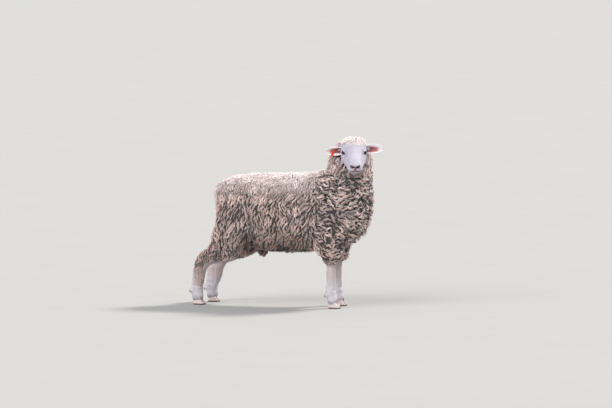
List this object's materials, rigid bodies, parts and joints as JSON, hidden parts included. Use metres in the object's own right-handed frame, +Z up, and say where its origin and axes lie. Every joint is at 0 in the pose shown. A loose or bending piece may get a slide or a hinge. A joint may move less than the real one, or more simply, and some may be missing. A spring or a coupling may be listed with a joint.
{
  "type": "sheep",
  "caption": "Still, life-size model of a young white-faced sheep in a short crimped fleece, standing square with its head turned to its right.",
  "frame": {"origin": "middle of the whole model's box, at the bottom, level with the soles", "axes": "+X towards the breast, +Y to the animal's left, +Z up; the head is turned to the animal's right"},
  "size_m": [0.958, 0.36, 0.8358],
  "materials": {
    "fleece": "matte, crimped beige-brown wool with paler tips",
    "short_hair": "matte, short white hair over skin",
    "horn": "satin, grained grey-brown horn",
    "eye": "wet gloss, dark brown iris with a level pupil",
    "tag_plastic": "satin orange-red plastic"
  },
  "bodies": {
    "root": {"ear_left": "short_hair", "ear_right": "short_hair", "ear_tag_strip": "tag_plastic", "ear_tag_stud": "tag_plastic", "eye_left": "eye", "eye_right": "eye", "foreleg_left_cannon": "short_hair", "foreleg_left_dewclaw_inner": "horn", "foreleg_left_dewclaw_outer": "horn", "foreleg_left_forearm": "fleece", "foreleg_left_hoof_inner": "horn", "foreleg_left_hoof_outer": "horn", "foreleg_left_pastern": "short_hair", "foreleg_right_cannon": "short_hair", "foreleg_right_dewclaw_inner": "horn", "foreleg_right_dewclaw_outer": "horn", "foreleg_right_forearm": "fleece", "foreleg_right_hoof_inner": "horn", "foreleg_right_hoof_outer": "horn", "foreleg_right_pastern": "short_hair", "head": "short_hair", "hindleg_left_cannon": "short_hair", "hindleg_left_dewclaw_inner": "horn", "hindleg_left_dewclaw_outer": "horn", "hindleg_left_gaskin": "fleece", "hindleg_left_hoof_inner": "horn", "hindleg_left_hoof_outer": "horn", "hindleg_left_pastern": "short_hair", "hindleg_left_thigh": "fleece", "hindleg_right_cannon": "short_hair", "hindleg_right_dewclaw_inner": "horn", "hindleg_right_dewclaw_outer": "horn", "hindleg_right_gaskin": "fleece", "hindleg_right_hoof_inner": "horn", "hindleg_right_hoof_outer": "horn", "hindleg_right_pastern": "short_hair", "hindleg_right_thigh": "fleece", "neck": "fleece", "tail": "fleece", "trunk": "fleece"}
  },
  "joints": []
}
